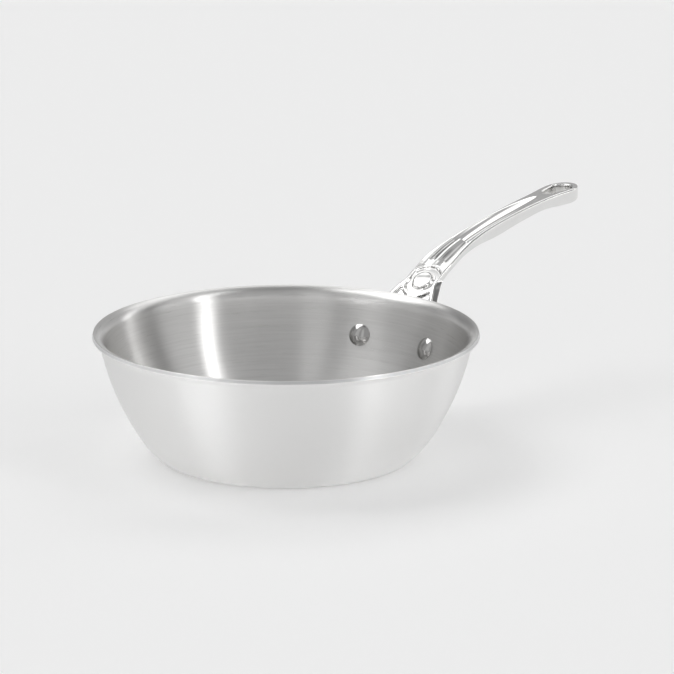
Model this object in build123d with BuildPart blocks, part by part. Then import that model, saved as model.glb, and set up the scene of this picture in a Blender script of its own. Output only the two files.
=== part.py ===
from build123d import *
from math import acos, asin, atan2, cos, degrees, hypot, radians, sin
import os

# Saucier pan: a flared bowl pressed from five bonded plies, a cast handle and two rivets.
# Frame: millimetres, +Z up, origin at the centre of the flat underside, handle along +X.

# Bowl, measured on its outer face, with each turn measured from level
rim_radius = 120.0
base_flat_radius = 75.3
corner_radius = 8.0
corner_turn = 39.0
lower_wall_radius = 51.0
lower_wall_turn = 56.0
upper_wall_radius = 162.4
upper_wall_turn = 78.8
lip_curl_radius = 5.0
lip_end_turn = 15.0
lip_land = 1.24

# Plies, from the outside in
outer_skin_thickness = 0.4
outer_aluminium_thickness = 0.5
alloy_core_thickness = 0.9
inner_aluminium_thickness = 0.5
inner_skin_thickness = 0.4

# Handle casting, side view
handle_reach = 173.0
handle_rise = 44.6
grip_depth = 9.0
leg_depth = 5.5
lip_gap = 3.0
seat_overrun = 1.0
top_end_direction = (1, 0.02)
blank_turn = 24.0
natural_speeds = (1, 1)
halvings = 50

# Handle casting, legs seen from the front
rivet_turn = 14.7
pad_height = 50.3
pad_radius = 9.5
pad_outer_turn = 40.0
crotch_height = 71.0
crotch_radius = 7.0
neck_half_width = 12.2
neck_reach = 23.0
neck_clearance = 0.3
neck_land = 4.0

# Handle casting, grip seen from above
grip_half_width = 7.9
eye_half_width = 10.6
eye_length = 15.0

# Hanging eye
eye_hole_inset = 13.0
eye_hole_radius = 7.2
eye_hole_neck_radius = 5.0
eye_hole_length = 13.2

# Dished channel along the grip
dish_radius = 9.5
dish_depth = 2.4
dish_start_reach = 52.5

# Tongue between the grooves
tongue_start_reach = 25.0
tongue_half_width = 4.8
tongue_rise = 1.8
tongue_sink = 1.5

# Grooves beside the tongue
groove_start_reach = 27.0
groove_side = 6.2
groove_radius = 1.8
groove_depth = 1.6

# Round medallion seat and its moat
medallion_reach = 13.5
moat_radius = 12.2
moat_half_width = 10.2
moat_depth = 2.8
medallion_radius = 7.4
medallion_rim = 1.3
medallion_lift = 0.3
medallion_sink = 0.5

# Pockets beside the moat's lower end, with the corners as shares of their side and rise
pocket_side = 15.2
pocket_rise = 4.4
pocket_depth = 3.2
pocket_corner_radius = 0.7
pocket_corner_shares = [(0.25, -0.2), (0.58, 0.3), (0.84, 1.0), (1.0, -0.55), (0.25, -0.55)]
pocket_reach_shares = [0.004, 0.035, 0.07, 0.12]

# Rounding of the casting
top_edge_radius = 1.1
under_edge_radius = 1.6

# Rivets
rivet_shank_radius = 3.0
rivet_head_radius = 7.0
rivet_head_height = 3.0
rivet_head_land = 0.7
rivet_tail_radius = 4.6
rivet_tail_depth = 1.8
rivet_tail_crown = 0.5

cutter_overrun = 10.0


def normal_step(distance, turn):
    """Step along a profile's outward normal, where the profile has turned so far from level."""
    return Vector(distance * sin(radians(turn)), -distance * cos(radians(turn)))


# Arc centres of the outer face, as radius and height
corner_centre = Vector(base_flat_radius, corner_radius)
lower_wall_centre = corner_centre + normal_step(corner_radius - lower_wall_radius, corner_turn)
upper_wall_centre = lower_wall_centre + normal_step(lower_wall_radius - upper_wall_radius, lower_wall_turn)

ply_thicknesses = [
    outer_skin_thickness,
    outer_aluminium_thickness,
    alloy_core_thickness,
    inner_aluminium_thickness,
    inner_skin_thickness,
]
wall_thickness = sum(ply_thicknesses)
lip_direction = Vector(cos(radians(lip_end_turn)), sin(radians(lip_end_turn)))


# The wall spreads sideways to join the base and the lip, and keeps its height
arcs_end = upper_wall_centre + normal_step(upper_wall_radius, upper_wall_turn)
lip_curl_step = normal_step(lip_curl_radius, upper_wall_turn) - normal_step(lip_curl_radius, lip_end_turn)
lip_reach = lip_curl_step.X + lip_direction.X * lip_land
spread_share = (rim_radius - lip_reach - base_flat_radius) / (arcs_end.X - base_flat_radius)


def spread(point):
    """Place of a point of the arcs once the wall joins the base and the lip."""
    return Vector(base_flat_radius + (point.X - base_flat_radius) * spread_share, point.Y)


def wall_point(turn, depth):
    """Point of the bowl's wall at a turn from level, a depth inside the outer face."""
    if turn <= corner_turn:
        outer_point = corner_centre + normal_step(corner_radius, turn)
    elif turn <= lower_wall_turn:
        outer_point = lower_wall_centre + normal_step(lower_wall_radius, turn)
    else:
        outer_point = upper_wall_centre + normal_step(upper_wall_radius, turn)
    return spread(outer_point) - normal_step(depth, turn)


def wall_point_at(height, depth):
    """Point of the upper wall at a height, a depth inside the outer face."""
    turn = degrees(acos((upper_wall_centre.Y - height) / (upper_wall_radius - depth)))
    return wall_point(turn, depth)


lip_curl_centre = spread(arcs_end) + normal_step(lip_curl_radius, upper_wall_turn)


def lip_point(turn, depth):
    """Point of the lip's curl at a turn from level, a depth inside the outer face."""
    return lip_curl_centre - normal_step(lip_curl_radius + depth, turn)


rim_height = (lip_point(lip_end_turn, wall_thickness) + lip_direction * lip_land).Y


def face_line(depth):
    """Edges of the face a depth inside the outer face, from the axis up to the lip, and their end."""
    middle_turns = [
        corner_turn / 2,
        (corner_turn + lower_wall_turn) / 2,
        (lower_wall_turn + upper_wall_turn) / 2,
        (upper_wall_turn + lip_end_turn) / 2,
    ]
    base_end = Vector(base_flat_radius, depth)
    corner_end = wall_point(corner_turn, depth)
    lower_end = wall_point(lower_wall_turn, depth)
    wall_end = lip_point(upper_wall_turn, depth)
    lip_end = lip_point(lip_end_turn, depth)
    edge = lip_end + lip_direction * lip_land
    Line((0, depth), base_end)
    ThreePointArc(base_end, wall_point(middle_turns[0], depth), corner_end)
    ThreePointArc(corner_end, wall_point(middle_turns[1], depth), lower_end)
    ThreePointArc(lower_end, wall_point(middle_turns[2], depth), wall_end)
    ThreePointArc(wall_end, lip_point(middle_turns[3], depth), lip_end)
    Line(lip_end, edge)
    return edge


# Rivets stand square to the wall, at the middle of each pad
pad_wall_point = wall_point_at(pad_height, 0)
pad_side = pad_wall_point.X * sin(radians(rivet_turn))
pad_arc_turn = acos((upper_wall_centre.Y - pad_height) / upper_wall_radius)
pad_wall_turn = degrees(atan2(sin(pad_arc_turn), spread_share * cos(pad_arc_turn)))
rivet_names = ["rivet_left", "rivet_right"]
rivet_turns = [rivet_turn, -rivet_turn]


def rivet_plane(turn):
    """Plane on the wall's outer face with the rivet's axis, pointing out of the bowl, as its normal."""
    outward = Vector(cos(radians(turn)), sin(radians(turn)), 0)
    origin = outward * pad_wall_point.X + Vector(0, 0, pad_height)
    axis = outward * sin(radians(pad_wall_turn)) - Vector(0, 0, cos(radians(pad_wall_turn)))
    return Plane(origin=origin, z_dir=axis)


# Space inside the bowl's outer face, which the handle's pads are cut to
with BuildPart() as bowl_space:
    with BuildSketch(Plane.XZ):
        with BuildLine():
            space_edge = face_line(0)
            Line(space_edge, (0, space_edge.Y))
            Line((0, space_edge.Y), (0, 0))
        make_face()
    revolve(axis=Axis.Z)

# Whole thickness of the wall, which the rivet heads are cut to
with BuildPart() as bowl_wall:
    with BuildSketch(Plane.XZ):
        with BuildLine():
            wall_edges = [face_line(0), face_line(wall_thickness)]
            Line(*wall_edges)
            Line((0, 0), (0, wall_thickness))
        make_face()
    revolve(axis=Axis.Z)

# Rivet shanks, from inside the head to the tail
with BuildPart() as shanks:
    for turn in rivet_turns:
        with BuildSketch(rivet_plane(turn).offset(-wall_thickness - rivet_head_height / 2)):
            Circle(rivet_shank_radius)
    extrude(amount=wall_thickness + rivet_head_height / 2 + leg_depth - rivet_tail_depth / 2)

# Bonded plies, each a strip between two parallel faces, turned round the axis
ply_names = ["outer_skin", "outer_aluminium", "alloy_core", "inner_aluminium", "inner_skin"]
plies = []
for ply_index, ply_name in enumerate(ply_names):
    outer_depth = sum(ply_thicknesses[:ply_index])
    inner_depth = outer_depth + ply_thicknesses[ply_index]
    with BuildPart() as ply:
        with BuildSketch(Plane.XZ):
            with BuildLine():
                ply_edges = [face_line(outer_depth), face_line(inner_depth)]
                Line(*ply_edges)
                Line((0, outer_depth), (0, inner_depth))
            make_face()
        revolve(axis=Axis.Z)
        add(shanks.part, mode=Mode.SUBTRACT)
    ply.part.label = ply_name
    plies.append(ply.part)

# Side view of the handle, as shares of its reach from the rim and its rise over the rim
top_line_shares = [
    (0.0173, -0.016),
    (0.104, 0.245),
    (0.220, 0.487),
    (0.376, 0.680),
    (0.607, 0.850),
    (0.751, 0.926),
    (0.896, 0.983),
    (1.06, 1.01),
]
# Depth of the casting square to the top line, as shares of the reach and of the grip's depth
under_line_shares = [
    (0.0, 0.62),
    (0.066, 0.56),
    (0.150, 0.50),
    (0.237, 0.57),
    (0.370, 0.82),
    (0.450, 0.99),
    (0.550, 0.96),
    (0.665, 0.87),
    (0.757, 0.83),
    (0.820, 0.93),
    (0.896, 1.05),
    (1.05, 1.03),
]
pad_low_height = pad_height - pad_radius - seat_overrun
pad_high_height = pad_height + pad_radius / 2
seat_heights = [pad_low_height, (pad_low_height + pad_high_height) / 2, pad_high_height]
lip_start = lip_point(upper_wall_turn, 0)

with BuildLine() as seat_line:
    ThreePointArc(*[wall_point_at(height, seat_overrun) for height in seat_heights])
with BuildLine() as pad_line:
    ThreePointArc(*[wall_point_at(height, -leg_depth) for height in seat_heights])
with BuildLine() as top_line:
    top_points = [
        Vector(rim_radius + reach_share * handle_reach, rim_height + rise_share * handle_rise)
        for reach_share, rise_share in top_line_shares
    ]
    top_start = seat_line.edges()[0] @ 1
    lip_clear = lip_start + Vector(lip_gap, 0)
    Spline(
        top_start,
        lip_clear,
        *top_points,
        tangents=[seat_line.edges()[0] % 1, top_end_direction],
        tangent_scalars=natural_speeds,
    )
top_edge = top_line.edges()[0]


def side_place(edge, reach):
    """Point and direction of a line of the side view at a reach from the rim."""
    low, high = 0.0, 1.0
    for halving in range(halvings):
        middle = (low + high) / 2
        if (edge @ middle).X < rim_radius + reach:
            low = middle
        else:
            high = middle
    return edge @ low, edge % low


def below_top(reach, depth):
    """Point of the side view a depth below the top line, square to it."""
    point, direction = side_place(top_edge, reach)
    return point + Vector(direction.Y, -direction.X) * depth


def section_plane(reach, rise=0):
    """Plane across the handle at a reach, with its origin a rise over the top line."""
    point = below_top(reach, -rise)
    direction = side_place(top_edge, reach)[1]
    return Plane(
        origin=(point.X, 0, point.Y), x_dir=(0, 1, 0), z_dir=(direction.X, 0, direction.Y)
    )


with BuildLine() as under_line:
    under_points = [
        below_top(reach_share * handle_reach, depth_share * grip_depth)
        for reach_share, depth_share in under_line_shares
    ]
    pad_edge = pad_line.edges()[0]
    Spline(
        pad_edge @ 1,
        *under_points,
        tangents=[pad_edge % 1, top_end_direction],
        tangent_scalars=natural_speeds,
    )
under_edge = under_line.edges()[0]

# Blank: the side view turned round the bowl's axis, so that the legs wrap round the wall
with BuildPart() as blank:
    with BuildSketch(Plane.XZ.rotated((0, 0, -blank_turn))):
        with BuildLine():
            add(seat_line.line)
            add(pad_line.line)
            add(top_line.line)
            add(under_line.line)
            Line(seat_line.edges()[0] @ 0, pad_edge @ 0)
            Line(top_edge @ 1, under_edge @ 1)
        make_face()
    revolve(axis=Axis.Z, revolution_arc=2 * blank_turn)


def pad_rim(turn):
    """Point of a pad's outline in the front view."""
    centre = Vector(pad_side, pad_height)
    return centre + Vector(pad_radius * cos(radians(turn)), pad_radius * sin(radians(turn)))


# Front view of the legs, which spread out from just below the neck's underside
neck_x = rim_radius + neck_reach
neck_height = side_place(under_edge, neck_reach)[0].Y - neck_clearance
neck_top_height = rim_height + handle_rise
leg_flare_shares = [(0.133, 0.113), (0.36, 0.27)]
with BuildSketch(Plane.YZ) as leg_view:
    with BuildLine():
        flare_points = [
            Vector(
                neck_half_width + side_share * (pad_side - neck_half_width),
                neck_height - drop_share * (neck_height - pad_height),
            )
            for side_share, drop_share in leg_flare_shares
        ]
        pad_direction = Vector(sin(radians(pad_outer_turn)), -cos(radians(pad_outer_turn)))
        Polyline((0, neck_top_height), (neck_half_width, neck_top_height), (neck_half_width, neck_height))
        Spline(
            (neck_half_width, neck_height),
            *flare_points,
            pad_rim(pad_outer_turn),
            tangents=[(0, -1), pad_direction],
            tangent_scalars=natural_speeds,
        )
        crotch_drop = crotch_height - pad_height
        crotch_length = hypot(pad_side, crotch_drop)
        tangent_turn = degrees(atan2(crotch_drop, pad_side) + asin(pad_radius / crotch_length))
        pad_inner_turn = 270 - tangent_turn
        pad_middle_turn = (pad_outer_turn + pad_inner_turn) / 2 - 180
        ThreePointArc(pad_rim(pad_outer_turn), pad_rim(pad_middle_turn), pad_rim(pad_inner_turn))
        Polyline(pad_rim(pad_inner_turn), (0, crotch_height), (0, neck_top_height))
    make_face()
    mirror(about=Plane.YZ)
    fillet(leg_view.vertices().filter_by_position(Axis.Y, crotch_height, crotch_height), crotch_radius)

# Plan view of the grip, as shares of the reach and of the grip's half width, up to the round eye
grip_side_shares = [(0.231, 1.39), (0.347, 1.108), (0.532, 1.0), (0.711, 1.04), (0.821, 1.165)]
tip_x = rim_radius + handle_reach
eye_x = tip_x - eye_length
eye_hole_x = tip_x - eye_hole_inset
with BuildSketch(Plane.XY) as grip_view:
    with BuildLine():
        neck_end = Vector(neck_x + neck_land, neck_half_width)
        side_points = [
            Vector(rim_radius + reach_share * handle_reach, side_share * grip_half_width)
            for reach_share, side_share in grip_side_shares
        ]
        Polyline((tip_x, 0), (neck_x, 0), (neck_x, neck_half_width), neck_end)
        Spline(
            neck_end,
            *side_points,
            (eye_x, eye_half_width),
            tangents=[(1, 0), (1, 0)],
            tangent_scalars=natural_speeds,
        )
        EllipticalCenterArc((eye_x, 0), eye_length, eye_half_width, start_angle=0, arc_size=90)
    make_face()
    mirror(about=Plane.XZ)

# Channel along the grip: a circle carried over the top line, which fades out before the eye
dish_shares = [(0.0, 1.0), (0.23, 1.0), (0.53, 0.9), (0.75, 0.6), (0.9, 0.15), (1.0, -0.3)]
dish_end_reach = eye_hole_x - eye_hole_length - eye_hole_neck_radius - rim_radius
dish_planes = []
for reach_share, depth_share in dish_shares:
    reach = dish_start_reach + reach_share * (dish_end_reach - dish_start_reach)
    dish_planes.append(section_plane(reach, dish_radius - depth_share * dish_depth))
with BuildPart() as dish:
    with BuildLine() as dish_path:
        Spline(
            *[plane.origin for plane in dish_planes],
            tangents=[dish_planes[0].z_dir, dish_planes[-1].z_dir],
            tangent_scalars=natural_speeds,
        )
    with BuildSketch(dish_planes[0]):
        Circle(dish_radius)
    sweep(path=dish_path.line)

# Grooves: a circle carried along each side of the tongue, from a rounded start to the channel
groove_shares = [(0.0, 1.0, -1.0), (0.1, 1.0, 0.2), (0.25, 1.0, 1.0), (0.6, 0.96, 1.0), (1.03, 0.87, 1.0)]
groove_points = []
for reach_share, side_share, depth_share in groove_shares:
    reach = groove_start_reach + reach_share * (dish_start_reach - groove_start_reach)
    plane = section_plane(reach, groove_radius - depth_share * groove_depth)
    groove_points.append(plane.from_local_coords((side_share * groove_side, 0, 0)))
with BuildPart() as grooves:
    with BuildLine() as groove_path:
        Spline(*groove_points)
    groove_edge = groove_path.edges()[0]
    with BuildSketch(Plane(origin=groove_edge @ 0, z_dir=groove_edge % 0)):
        Circle(groove_radius)
    sweep(path=groove_path.line)
    mirror(about=Plane.XZ)

# Tongue: rounded sections sunk into the casting, from the moat to the channel's end
tongue_shares = [(0.0, 0.92, 0.0), (0.27, 1.0, 0.67), (0.63, 0.98, 1.0), (1.0, 0.88, 1.0)]
with BuildPart() as tongue:
    for reach_share, width_share, rise_share in tongue_shares:
        reach = tongue_start_reach + reach_share * (dish_start_reach - tongue_start_reach)
        half_width = width_share * tongue_half_width
        with BuildSketch(section_plane(reach, -tongue_sink)):
            with BuildLine():
                crown = (0, tongue_sink + rise_share * tongue_rise)
                ThreePointArc((-half_width, 0), crown, (half_width, 0))
                Line((half_width, 0), (-half_width, 0))
            make_face()
    loft()

# Medallion seat: plane touching the top line, with its sideways axis as x
medallion_place = section_plane(medallion_reach)
medallion_plane = Plane(
    origin=medallion_place.origin,
    x_dir=medallion_place.x_dir,
    z_dir=medallion_place.y_dir,
)

# Pockets beside the moat's lower end, seen from the front
pocket_corners = [
    Vector(side_share * pocket_side, rim_height + rise_share * pocket_rise)
    for side_share, rise_share in pocket_corner_shares
]
with BuildSketch(Plane.YZ) as pocket_view:
    with BuildLine():
        ThreePointArc(*pocket_corners[:3])
        Polyline(*pocket_corners[2:], pocket_corners[0])
    make_face()
    fillet(pocket_view.vertices(), pocket_corner_radius)
    mirror(about=Plane.YZ)

# Band under the top line, one pocket deep, turned round the bowl's axis
with BuildPart() as pocket_band:
    with BuildSketch(Plane.XZ.rotated((0, 0, -blank_turn))):
        pocket_reaches = [reach_share * handle_reach for reach_share in pocket_reach_shares]
        with BuildLine():
            floor_points = [below_top(reach, pocket_depth) for reach in pocket_reaches]
            ceiling_points = [below_top(reach, -cutter_overrun) for reach in pocket_reaches]
            Spline(*floor_points)
            Polyline(floor_points[-1], *reversed(ceiling_points), floor_points[0])
        make_face()
    revolve(axis=Axis.Z, revolution_arc=2 * blank_turn)
with BuildPart() as pockets:
    extrude(pocket_view.sketch, amount=neck_x)
    add(pocket_band.part, mode=Mode.INTERSECT)

with BuildPart() as handle:
    extrude(leg_view.sketch, amount=neck_x)
    extrude(grip_view.sketch, amount=rim_height + handle_rise + cutter_overrun)
    add(blank.part, mode=Mode.INTERSECT)
    # Round the outline's long edges, which the turned faces share with the upright ones
    for edge_radius, facing in [(top_edge_radius, 1), (under_edge_radius, -1)]:
        turned_faces = [
            face
            for face in handle.faces()
            if face.geom_type in (GeomType.REVOLUTION, GeomType.TORUS) and face.normal_at().Z * facing > 0
        ]
        turned_edges = [edge for face in turned_faces for edge in face.edges()]
        outline_edges = [
            edge for edge in turned_edges if sum(edge.is_same(other) for other in turned_edges) == 1
        ]
        fillet(outline_edges, edge_radius)
    add(bowl_space.part, mode=Mode.SUBTRACT)
    add(dish.part, mode=Mode.SUBTRACT)
    add(grooves.part, mode=Mode.SUBTRACT)
    add(tongue.part)
    # Moat round the medallion, with its flanks flattened, and the medallion's low boss
    with BuildSketch(medallion_plane.offset(-moat_depth)):
        Circle(moat_radius)
        Rectangle(2 * moat_half_width, 2 * moat_radius, mode=Mode.INTERSECT)
    extrude(amount=moat_depth + cutter_overrun, mode=Mode.SUBTRACT)
    with BuildSketch(medallion_plane.offset(-moat_depth)):
        Circle(medallion_radius)
    extrude(amount=moat_depth + medallion_lift)
    with BuildSketch(medallion_plane.offset(medallion_lift - medallion_sink)):
        Circle(medallion_radius - medallion_rim)
    extrude(amount=medallion_sink, mode=Mode.SUBTRACT)
    add(pockets.part, mode=Mode.SUBTRACT)
    # Teardrop hole of the hanging eye
    with BuildSketch(Plane.XY) as eye_hole:
        with Locations((eye_hole_x, 0)):
            Circle(eye_hole_radius)
        with Locations((eye_hole_x - eye_hole_length, 0)):
            Circle(eye_hole_neck_radius)
        make_hull()
    extrude(amount=rim_height + handle_rise + cutter_overrun, mode=Mode.SUBTRACT)
    add(shanks.part, mode=Mode.SUBTRACT)
    # Countersinks of the rivets in the pads
    for turn in rivet_turns:
        with Locations(rivet_plane(turn).offset(leg_depth - rivet_tail_depth)):
            Cone(
                rivet_shank_radius,
                rivet_tail_radius,
                rivet_tail_depth,
                align=(Align.CENTER, Align.CENTER, Align.MIN),
                mode=Mode.SUBTRACT,
            )
handle.part.label = "handle"


def cap_step(radius, rise):
    """Step from the top of a round cap of a radius and a rise to the middle of its arc."""
    cap_radius = (radius**2 + rise**2) / (2 * rise)
    half_turn = degrees(asin(radius / cap_radius)) / 2
    return normal_step(cap_radius, half_turn) + Vector(0, cap_radius)


# Rivets: a domed head inside the bowl, a shank through the wall and a countersunk tail
dome_rise = rivet_head_height - rivet_head_land
head_top = -wall_thickness - rivet_head_height
head_edge = -wall_thickness - rivet_head_land
rivets = []
for turn, rivet_name in zip(rivet_turns, rivet_names):
    seat = rivet_plane(turn)
    profile_plane = Plane(origin=seat.origin, x_dir=seat.x_dir, z_dir=seat.x_dir.cross(seat.z_dir))
    rivet_axis = Axis(seat.origin, seat.z_dir)
    with BuildPart() as rivet:
        with BuildSketch(profile_plane):
            with BuildLine():
                dome_middle = Vector(0, head_top) + cap_step(rivet_head_radius, dome_rise)
                ThreePointArc((0, head_top), dome_middle, (rivet_head_radius, head_edge))
                Polyline(
                    (rivet_head_radius, head_edge),
                    (rivet_head_radius, -wall_thickness / 2),
                    (0, -wall_thickness / 2),
                    (0, head_top),
                )
            make_face()
        revolve(axis=rivet_axis)
        add(bowl_wall.part, mode=Mode.SUBTRACT)
        with BuildSketch(profile_plane):
            with BuildLine():
                shank_start = -wall_thickness - rivet_head_height / 2
                Polyline(
                    (0, leg_depth + rivet_tail_crown),
                    (0, shank_start),
                    (rivet_shank_radius, shank_start),
                    (rivet_shank_radius, leg_depth - rivet_tail_depth),
                    (rivet_tail_radius, leg_depth),
                )
                crown_step = cap_step(rivet_tail_radius, rivet_tail_crown)
                crown_middle = Vector(crown_step.X, leg_depth + rivet_tail_crown - crown_step.Y)
                ThreePointArc((rivet_tail_radius, leg_depth), crown_middle, (0, leg_depth + rivet_tail_crown))
            make_face()
        revolve(axis=rivet_axis)
    rivet.part.label = rivet_name
    rivets.append(rivet.part)

# Export
os.makedirs("parts", exist_ok=True)
for piece in [*plies, handle.part, *rivets]:
    export_step(piece, "parts/" + piece.label + ".step")
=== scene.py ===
import math

import bmesh
import bpy
import numpy as np
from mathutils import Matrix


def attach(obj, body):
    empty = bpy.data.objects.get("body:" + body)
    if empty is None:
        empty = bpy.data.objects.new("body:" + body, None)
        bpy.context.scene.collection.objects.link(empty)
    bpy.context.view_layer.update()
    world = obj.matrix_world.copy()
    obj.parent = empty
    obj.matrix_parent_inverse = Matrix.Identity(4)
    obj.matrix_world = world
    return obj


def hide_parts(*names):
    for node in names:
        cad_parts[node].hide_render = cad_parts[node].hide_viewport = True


# Saucier pan: satin clad bowl, polished cast handle and two rivets, in a plain pale studio.
# Shapes are worked out in millimetres. The bowl stands on z = 0 round the z axis, with its handle along +x.

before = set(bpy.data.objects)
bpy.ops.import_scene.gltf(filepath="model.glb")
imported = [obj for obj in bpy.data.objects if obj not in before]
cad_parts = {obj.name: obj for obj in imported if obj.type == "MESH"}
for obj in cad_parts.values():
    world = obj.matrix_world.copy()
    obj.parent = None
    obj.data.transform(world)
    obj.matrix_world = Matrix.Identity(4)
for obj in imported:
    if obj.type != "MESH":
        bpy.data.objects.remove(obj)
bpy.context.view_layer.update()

MM = 0.001

# Meshes and materials: lengths in metres, angles in degrees and a share of a full turn
MERGE_DISTANCE = 2e-7
LEAST_RADIUS = 1e-5
SHARP_ANGLE = 35.0
HANDLE_SHARP_ANGLE = 80.0
QUARTER_TURN = 0.25

# Bowl, measured on its outer face, with each turn measured from level
RIM_RADIUS = 120.0
BASE_FLAT_RADIUS = 75.3
CORNER_RADIUS = 8.0
CORNER_TURN = 39.0
LOWER_WALL_RADIUS = 51.0
LOWER_WALL_TURN = 56.0
UPPER_WALL_RADIUS = 162.4
UPPER_WALL_TURN = 78.8
LIP_CURL_RADIUS = 5.0
LIP_END_TURN = 15.0
PLY_THICKNESSES = {
    "outer_skin": 0.4,
    "outer_aluminium": 0.5,
    "alloy_core": 0.9,
    "inner_aluminium": 0.5,
    "inner_skin": 0.4,
}
WALL_THICKNESS = sum(PLY_THICKNESSES.values())
LIP_EDGE_ROUND = 0.25

# Points of the bowl's profile, and segments round its axis
BASE_POINTS = 26
CORNER_POINTS = 18
LOWER_WALL_POINTS = 14
UPPER_WALL_POINTS = 36
LIP_CURL_POINTS = 22
LIP_LAND_POINTS = 4
LIP_EDGE_POINTS = 6
TURN_SEGMENTS = 360

# Handle, side view: shares of its reach from the rim and of its rise over the rim
HANDLE_REACH = 173.0
HANDLE_RISE = 44.6
GRIP_DEPTH = 9.0
LEG_DEPTH = 5.5
LIP_GAP = 3.0
SEAT_OVERRUN = 1.0
TOP_END_DIRECTION = (1.0, 0.02)
TOP_LINE_SHARES = [
    (0.0173, -0.016),
    (0.104, 0.245),
    (0.220, 0.487),
    (0.376, 0.680),
    (0.607, 0.850),
    (0.751, 0.926),
    (0.896, 0.983),
    (1.06, 1.01),
]
UNDER_LINE_SHARES = [
    (0.0, 0.62),
    (0.066, 0.56),
    (0.150, 0.50),
    (0.237, 0.57),
    (0.370, 0.82),
    (0.450, 0.99),
    (0.550, 0.96),
    (0.665, 0.87),
    (0.757, 0.83),
    (0.820, 0.93),
    (0.896, 1.05),
    (1.05, 1.03),
]

# Handle, front view of the legs
RIVET_TURN = 14.7
PAD_HEIGHT = 50.3
PAD_RADIUS = 9.5
PAD_OUTER_TURN = 40.0
CROTCH_HEIGHT = 71.0
CROTCH_RADIUS = 7.0
NECK_HALF_WIDTH = 12.2
NECK_HEIGHT = 87.36
NECK_END_REACH = 27.0
LEG_FLARE_SHARES = [(0.133, 0.113), (0.36, 0.27)]

# Handle, plan view of the grip and its hanging eye
GRIP_HALF_WIDTH = 7.9
GRIP_SIDE_SHARES = [(0.231, 1.39), (0.347, 1.108), (0.532, 1.0), (0.711, 1.04), (0.821, 1.165)]
EYE_HALF_WIDTH = 10.6
EYE_LENGTH = 15.0
EYE_HOLE_INSET = 13.0
EYE_HOLE_RADIUS = 7.2
EYE_HOLE_NECK_RADIUS = 5.0
EYE_HOLE_LENGTH = 13.2

# Handle, relief of its upper side
DISH_RADIUS = 9.5
DISH_DEPTH = 2.4
DISH_START_REACH = 52.5
DISH_SHARES = [(0, 1), (0.23, 1), (0.53, 0.9), (0.75, 0.6), (0.9, 0.15), (1, -0.3)]
TONGUE_START_REACH = 25.0
TONGUE_HALF_WIDTH = 4.8
TONGUE_RISE = 1.1
TONGUE_SINK = 1.5
TONGUE_WIDTH_SHARES = [(0, 0.92), (0.27, 1), (0.63, 0.98), (1, 0.88)]
TONGUE_RISE_SHARES = [(0, 0), (0.27, 0.67), (0.63, 1), (1, 1)]
GROOVE_START_REACH = 27.0
GROOVE_SIDE = 6.2
GROOVE_RADIUS = 2.0
GROOVE_DEPTH = 1.4
GROOVE_SIDE_SHARES = [(0, 1), (0.1, 1), (0.25, 1), (0.6, 0.96), (1.03, 0.87)]
GROOVE_DEPTH_SHARES = [(0, -1), (0.1, 0.2), (0.25, 1), (0.6, 1), (1.03, 1)]
MEDALLION_REACH = 13.5
MOAT_RADIUS = 12.2
MOAT_HALF_WIDTH = 10.2
MOAT_DEPTH = 2.0
MEDALLION_RADIUS = 7.4
MEDALLION_RIM = 1.3
MEDALLION_LIFT = 0.3
MEDALLION_SINK = 0.5
POCKET_RIB = 1.5
POCKET_INNER_SIDE = 3.6
POCKET_EDGE = 2.6
POCKET_DROP = 2.6
POCKET_DEPTH = 2.0

# Handle, widths of the steps and blends between the forms of its relief
DISH_BLEND = 0.35
DISH_LIFT = 0.02
DISH_STEP = 1.0
GROOVE_BLEND = 0.7
GROOVE_LIFT = 0.1
MOAT_STEP = 1.6
MEDALLION_DOME = 0.25
MEDALLION_STEP = 1.5
RIM_STEP = 0.9
POCKET_BLEND = 1.0
POCKET_STEP = 1.4
LEAST_SQUARE = 0.01

# Rounding of the casting's edges
TOP_EDGE = 1.1
UNDER_EDGE = 1.6
EYE_EDGE = 0.9

# Points of the lines and columns of the handle's grid
LINE_POINTS = 3000
SIDE_LINE_POINTS = 12000
SEAT_POINTS = 300
OUTLINE_POINTS = 1600
TOP_COLUMNS = 50
UNDER_COLUMNS = 15
EDGE_COLUMNS = 6
WALL_COLUMNS = 6


# Meshes


def mesh_piece(name, vertices, quads, triangles=None, sharp_angle=SHARP_ANGLE, travel=None, merge=False):
    """Mesh of whole arrays of quads and triangles, smooth but for edges sharper than an angle."""
    triangles = np.zeros((0, 3), int) if triangles is None else triangles
    corners = np.concatenate([quads.ravel(), triangles.ravel()]).astype(np.int32)
    sizes = np.concatenate([np.full(len(quads), 4), np.full(len(triangles), 3)])
    starts = np.concatenate([[0], np.cumsum(sizes)[:-1]]).astype(np.int32)
    mesh = bpy.data.meshes.new(name)
    mesh.vertices.add(len(vertices))
    mesh.vertices.foreach_set("co", (vertices * MM).astype(np.float32).ravel())
    mesh.loops.add(len(corners))
    mesh.loops.foreach_set("vertex_index", corners)
    mesh.polygons.add(len(sizes))
    mesh.polygons.foreach_set("loop_start", starts)
    mesh.update(calc_edges=True)
    if travel is not None:
        attribute = mesh.attributes.new("travel", "FLOAT", "POINT")
        attribute.data.foreach_set("value", (travel * MM).astype(np.float32))
    if merge:
        joined = bmesh.new()
        joined.from_mesh(mesh)
        bmesh.ops.remove_doubles(joined, verts=joined.verts, dist=MERGE_DISTANCE)
        loose = [vertex for vertex in joined.verts if not vertex.link_faces]
        bmesh.ops.delete(joined, geom=loose, context="VERTS")
        joined.to_mesh(mesh)
        joined.free()
    mesh.validate()
    mesh.polygons.foreach_set("use_smooth", np.ones(len(mesh.polygons), bool))
    mesh.set_sharp_from_angle(angle=math.radians(sharp_angle))
    piece = bpy.data.objects.new(name, mesh)
    bpy.context.scene.collection.objects.link(piece)
    return piece


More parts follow.
